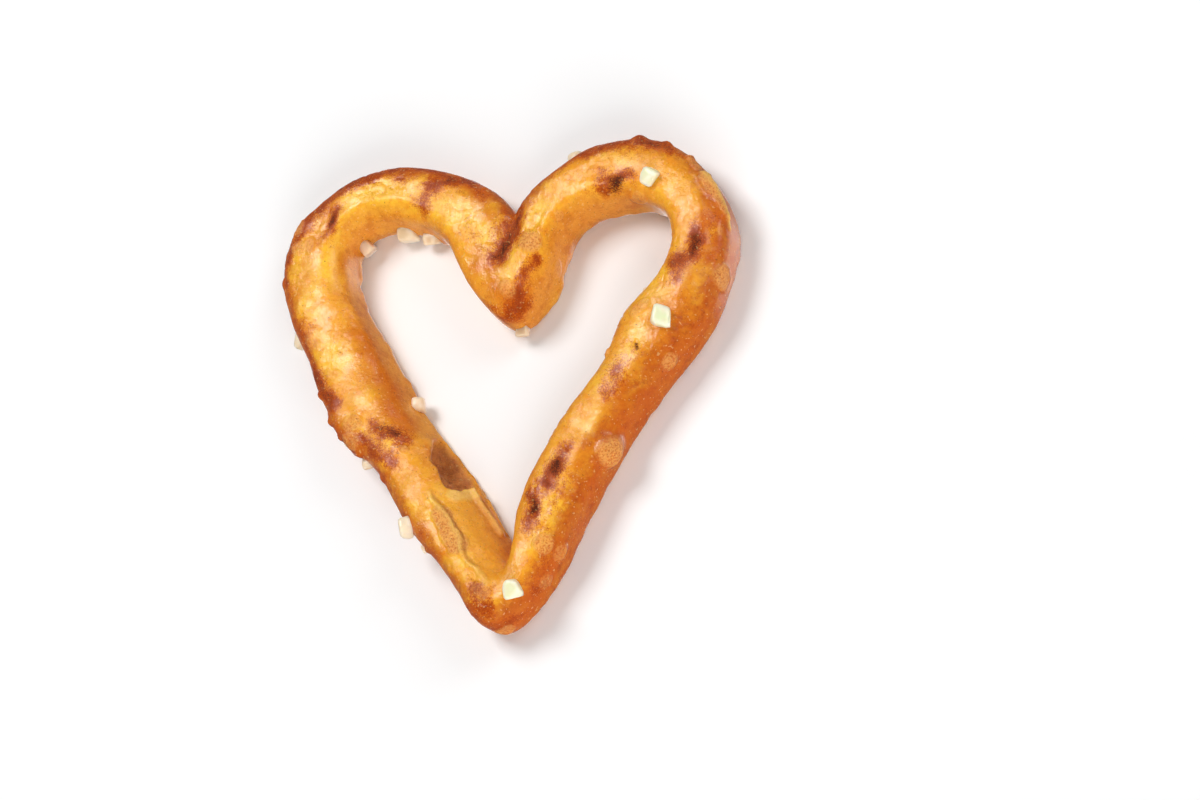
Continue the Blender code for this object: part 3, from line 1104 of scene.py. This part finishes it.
# %% Dough colours
mix = Recipe(bpy.data.materials.new("baked_crust"))
slow = mix.spread(mix.hills(4.5, 2.0), 0.42, 0.62)
mottle = mix.spread(mix.hills(0.9, 4.0, 0.65), 0.42, 0.7)
browned = mix.spread(mix.hills(1.1, 5.0, 0.7), 0.38, 0.62, 0.25, 1.0)
rusty = mix.spread(mix.hills(0.8, 6.0, 0.75), 0.5, 0.68)
dappled = mix.spread(mix.hills(1.2, 5.0, 0.7), 0.42, 0.64, 0.0, 0.42)
freckles = mix.spread(mix.hills(0.13, 0.0), 0.74, 0.84, 0.0, 0.4)
walls = mix.sums("MAXIMUM", "inside", "bare")
sheltered = mix.sums("MULTIPLY_ADD", "bare", -0.6, "inside")
colour = mix.cover(AMBER, (
    # where, colour and strength
    (slow, ORANGE, 0.5),
    (mottle, ORANGE, 0.5),
    ("inside", HOLE_TAN, 0.75),
    # deeper orange, partly baked and partly painted shade
    ("deep_bake_and_shade", DEEP_ORANGE_AND_SHADE, 1.0),
    (mix.sums("MULTIPLY", browned, "shoulder"), WALL_BROWN, 0.8),
    ("outside", WALL_BROWN, 0.8),
    (mix.sums("MULTIPLY", rusty, "shoulder"), RUST, 0.6),
    ("bare", BARE_TAN, 0.8),
    (dappled, WALL_BROWN, sheltered),
    (freckles, BRAN, walls),
    ("back", BACK_TAN, 1.0),
))
print(len(mix.nodes), "nodes for the dough")

# %% [markdown]
# ## Toast, scars and burns
#
# Over the dough lie toast, scars, the crater's floor with painted shade in the hollow,
# pale skin with a painted highlight on the lip and the ridge, painted shade in the groove
# and the crack, and burns. A weight alone would give each a smooth airbrushed edge. Adding
# slow blotches and fine dots to it first, and then cutting it off with a narrow ramp,
# breaks the edge up into speckles, as on a crust.

# %% Browned and scarred
blotch = mix.sums("SUBTRACT", mix.hills(0.8, 5.0, 0.65), 0.5)
dots = mix.sums("SUBTRACT", mix.hills(0.12, 3.0, 0.7), 0.5)
toast = mix.add_up("toast", ((blotch, 1.3), (dots, 1.5)))
baked = mix.blend(mix.spread(toast, 0.35, 1.15), HALO, TOASTED)
grit = mix.hills(0.16, 2.0, 0.6)
scar_colour = mix.blend(mix.spread(grit, 0.36, 0.58), SCAR_GRIT, SCAR_PALE)
# the crater's floor: crumb brown and painted shade of the hollow
crater_crumb_and_shade = mix.blend(mix.spread(mix.hills(0.8, 4.0, 0.7), 0.3, 0.7), CRATER_BROWN, CRATER_DARK)
colour = mix.cover(colour, (
    (mix.spread(toast, 0.1, 0.8), baked, 1.0),
    ("scar", scar_colour, 0.85),
    # crumb brown and painted shade in the crater
    ("crater", crater_crumb_and_shade, 1.0),
    # pale skin, and a painted highlight on the lip and the ridge
    ("lip", PALE_SKIN_AND_HIGHLIGHT, 1.0),
    # painted shade in the groove and the crack
    ("groove", BURNT_RED_AND_GROOVE_SHADE, 0.55),
))
print(len(mix.nodes), "nodes with toast and scars")

# %% [markdown]
# ## Burns, bubbles and bran
#
# Last come the smallest things: charred blisters, a grain over everything, tiny pale
# bubbles under the glaze and dark specks of bran. The bubbles and specks are the peaks of
# a fine noise. Scattering thousands of small meshes would give the same dots at a great
# cost.

# %% Burns and specks
burn = mix.add_up("burn", ((blotch, 1.2), (dots, 2.2)))
charred = mix.blend(mix.spread(burn, 0.5, 1.15), BURNT_RED_AND_GROOVE_SHADE, BURNT)
colour = mix.cover(colour, ((mix.spread(burn, 0.25, 1.0), charred, 1.0),))
fleck = mix.spread(mix.hills(0.26, 4.0, 0.75), 0.38, 0.62, 0.0, 0.35)
colour = mix.blend(fleck, colour, FLECK, "MULTIPLY")
colour = mix.cover(colour, (
    (mix.spread(mix.hills(0.2, 0.0), 0.7, 0.8, 0.0, 0.32), BUBBLE, 1.0),
    (mix.spread(mix.hills(0.17, 0.0), 0.79, 0.85), BRAN, 0.6),
))
mix.shade({"Base Color": colour})
print(len(mix.nodes), "nodes with burns and specks")

# %% [markdown]
# ## Glaze
#
# A thin glaze makes the crust shine, and its shine tells the eye how rough each spot is.
# One roughness for all of it would look like varnish. The glaze varies slowly, and scars,
# the crater, the back, the bare wall and burnt skin are duller. A little light also
# travels inside the dough and comes out redder, which softens its shadows.

# %% Glaze and glow
glaze = mix.spread(mix.hills(1.7, 3.0, 0.6), 0.35, 0.65, 0.16, 0.27)
duller = (("scar", 0.3), ("back", 0.25), ("bare", 0.08), ("burn", 0.3), ("crater", 0.4))
mix.shade({
    "Roughness": mix.add_up(glaze, duller),
    "IOR": 1.5,
    "Specular IOR Level": mix.add_up(0.5, (("toast", -0.15), ("burn", -0.2))),
    "Subsurface Weight": 0.16,
    "Subsurface Radius": (1.0, 0.42, 0.08),
    "Subsurface Scale": 0.7 * MM,
})
print(len(mix.nodes), "nodes with the glaze")

# %% [markdown]
# ## Fine relief
#
# Wrinkles of a tenth of a millimetre break up the highlights, but would need millions of
# faces. A bump changes only the shading, which is enough at this size, as the outline is
# already carried by the mesh. The wrinkles run with the strand, so they are read from
# the unrolled strand.

# %% Fine relief
BUMP_DEPTH = 0.12  # mm

crinkle = mix.stretch(mix.carried("unrolled", "Vector"), (1.0, 1.0, 0.6))
crinkle = mix.hills(0.36, 4.0, 0.65, crinkle, 0.6)
where = mix.sums("MULTIPLY", "front", mix.spread(mix.hills(2.2), 0.4, 0.62, 0.15, 1.0))
relief = mix.add_up(mix.sums("MULTIPLY", crinkle, where), (
    (mix.sums("MULTIPLY", grit, mix.sums("ADD", "scar", "crater")), 1.2),
    (mix.sums("MULTIPLY", dots, "burn"), 1.2),
    (mix.hills(0.14, 2.0, 0.6), 0.22),
))
mix.bump(relief, BUMP_DEPTH)
crust.data.materials.append(mix.owner)
print(len(mix.nodes), "nodes in the crust's material")

# %% [markdown]
# ## The salt's material
#
# Salt is clear, but a grain full of cracks scatters light and looks milky. Glass would
# need many bounces of light and would still look too clean, so a soft glow under the
# surface does it. The edges are painted whiter than the faces, a painted highlight, and
# grains on the walls are painted cream and tan, a painted glow of the dough's light in them.

# %% Salt material
# whiter colours are the painted highlight on edges; the tan is a painted glow of the dough
SALT_WHITE = paint(246, 248, 218)
SALT_GREEN = paint(230, 236, 194)
SALT_CREAM = paint(246, 218, 190)
DOUGH_GLOW_TAN = paint(222, 180, 142)

mix = Recipe(bpy.data.materials.new("coarse_salt"))
cloud = mix.spread(mix.hills(0.5, 2.0), 0.3, 0.7, 0.0, 0.25)
# painted: grains low in white get a tan glow of the dough, and edges a whiter highlight
face_tint_and_dough_glow = mix.blend("white", DOUGH_GLOW_TAN, SALT_GREEN)
painted_edge_highlight = mix.blend("white", SALT_CREAM, SALT_WHITE)
tint = mix.blend("edge", face_tint_and_dough_glow, painted_edge_highlight)
mix.shade({
    "Base Color": mix.blend(cloud, tint, SALT_CREAM),
    "Roughness": 0.3,
    "IOR": 1.54,
    "Subsurface Weight": 0.6,
    "Subsurface Radius": (1.0, 0.95, 0.7),
    "Subsurface Scale": 0.8 * MM,
})
mix.bump(mix.hills(0.3, 2.0), 0.03)
salt.data.materials.append(mix.owner)
print(len(mix.nodes), "nodes in the salt's material")

# %% [markdown]
# ## Onto the part
#
# Both pieces ride on the part's one body, so they would move with it. The crust takes the
# place of the plain solid, which is then hidden. Deleting the solid instead would lose the
# link to the body.

# %% Ride and replace
for piece in (crust, salt):
    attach(piece, "root")
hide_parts("pretzel")
print("crust and salt ride on the root")

# %% [markdown]
# ## Floor
#
# The pretzel lies on a plain pale sheet, so that nothing draws the eye from it. A bright
# floor also mirrors in the glaze and would wash out the walls. The real light comes from
# above, so the floor is left out of reflections, and still catches shadows.

# %% Floor
FLOOR_HALF = 600.0

sheet = np.array([(-1, -1, 0), (1, -1, 0), (1, 1, 0), (-1, 1, 0)]) * FLOOR_HALF
floor = surface("floor", sheet, np.array([(0, 1, 2, 3)]), {})
mix = Recipe(bpy.data.materials.new("pale_floor"))
pale = mix.blend(mix.hills(40.0), paint(250, 250, 250), paint(247, 247, 247))
mix.shade({"Base Color": pale, "Roughness": 0.7})
floor.data.materials.append(mix.owner)
floor.visible_glossy = False  # the glaze doesn't mirror it
print("floor", 2 * FLOOR_HALF, "mm wide")

# %% [markdown]
# ## Camera
#
# A long lens keeps the heart from looking stretched. The camera looks from the side of
# the tip and from above, rolled so that the heart stands upright in the picture. It could
# be nudged by eye, but here it is worked out: the scale sets how far away it is, and one
# point of the heart is put on one pixel.

# %% Camera
IMAGE = (1200, 800)  # pixels
LENS = 120.0  # mm
SENSOR = 36.0
AZIMUTH = np.radians(47.0)
ELEVATION = np.radians(58.0)
ROLL = np.radians(-50.0)
SCALE = 0.078  # mm of the heart's plane for one pixel
AIM = np.array((0.9, -0.2, THICKNESS / 2 - SOLE_CUT))  # mm
AIM_PIXEL = (512, 388)

towards = np.array((np.sin(AZIMUTH) * np.cos(ELEVATION),
                    -np.cos(AZIMUTH) * np.cos(ELEVATION), np.sin(ELEVATION)))
level = np.array((np.cos(AZIMUTH), np.sin(AZIMUTH), 0.0))
right = np.cos(ROLL) * level + np.sin(ROLL) * np.cross(towards, level)
upward = np.cross(towards, right)
distance = LENS / SENSOR * IMAGE[0] * SCALE
eye = AIM + towards * distance
eye -= right * (AIM_PIXEL[0] - IMAGE[0] / 2) * SCALE
eye += upward * (AIM_PIXEL[1] - IMAGE[1] / 2) * SCALE

lens = bpy.data.cameras.new("camera")
lens.lens = LENS
lens.sensor_width = SENSOR
lens.clip_start = 0.01
lens.clip_end = 10.0
camera = bpy.data.objects.new("camera", lens)
axes = Matrix(np.column_stack((right, upward, towards)).tolist())
camera.matrix_world = Matrix.Translation(Vector(eye * MM)) @ axes.to_4x4()
bpy.context.scene.collection.objects.link(camera)
bpy.context.scene.camera = camera
print(f"camera {distance:.0f} mm away")

# %% [markdown]
# ## Lights
#
# A shiny thing is lit by what it mirrors. The key light hangs where a mirror lying on the
# floor would send the camera's view, so the glaze on the front catches it. A lamp behind
# rims the far side. A wide weak one brightens the near walls, and is left out of
# reflections, as its own would lay a pale veil over them.

# %% Lights


def soft_light(name, direction, distance_mm, size_mm, power, mirrored=True):
    """A square area light that faces the pretzel from a direction.

    Where mirrored is False, the glaze doesn't show it and it only brightens.
    """
    data = bpy.data.lights.new(name, "AREA")
    data.size = size_mm * MM
    data.energy = power
    light = bpy.data.objects.new(name, data)
    away = Vector(direction).normalized()
    light.location = away * distance_mm * MM
    light.rotation_mode = "QUATERNION"
    light.rotation_quaternion = away.to_track_quat("Z", "Y")
    light.visible_glossy = mirrored
    bpy.context.scene.collection.objects.link(light)


opposite = (-towards[0], -towards[1], towards[2])
soft_light("key", opposite, distance_mm=420, size_mm=180, power=1.1)
soft_light("back", (0.75, 0.55, 0.6), distance_mm=500, size_mm=260, power=0.6)
soft_light("bounce", (0.4, -0.9, 0.35), distance_mm=500, size_mm=450, power=2.5, mirrored=False)
print("key light towards", np.round(opposite, 2))

# %% [markdown]
# ## Surroundings
#
# At the walls' edges the glaze mirrors what lies low behind the pretzel. An all white room
# would turn every edge pale, and an all black one would lose the sheen. So the room is
# dim, with two soft bright patches, one straight behind and one to the side.

# %% Surroundings
ROOM = 0.2  # brightness of the room away from the patches

world = bpy.data.worlds.new("studio")
room = Recipe(world, shader="Background")


def patch(direction, low, high, strength):
    """A soft round patch of light in the surroundings, seen in reflections."""
    along_it = room.nodes.new("ShaderNodeVectorMath")
    along_it.operation = "DOT_PRODUCT"
    room.put(room.places["Generated"], along_it.inputs[0])
    room.put(Vector(direction).normalized(), along_it.inputs[1])
    return room.spread(along_it.outputs["Value"], low, high, 0.0, strength)


behind = patch(-towards, 0.93, 0.99, 1.3)
beside = patch((0.39, 0.36, -0.85), 0.93, 0.985, 1.5)
glow = room.add_up(ROOM, ((behind, 1.0), (beside, 1.0)))
room.shade({"Color": (1.0, 1.0, 1.0, 1.0), "Strength": glow})
bpy.context.scene.world = world
bpy.context.scene.view_settings.view_transform = "Standard"
print("room with 2 patches of light")
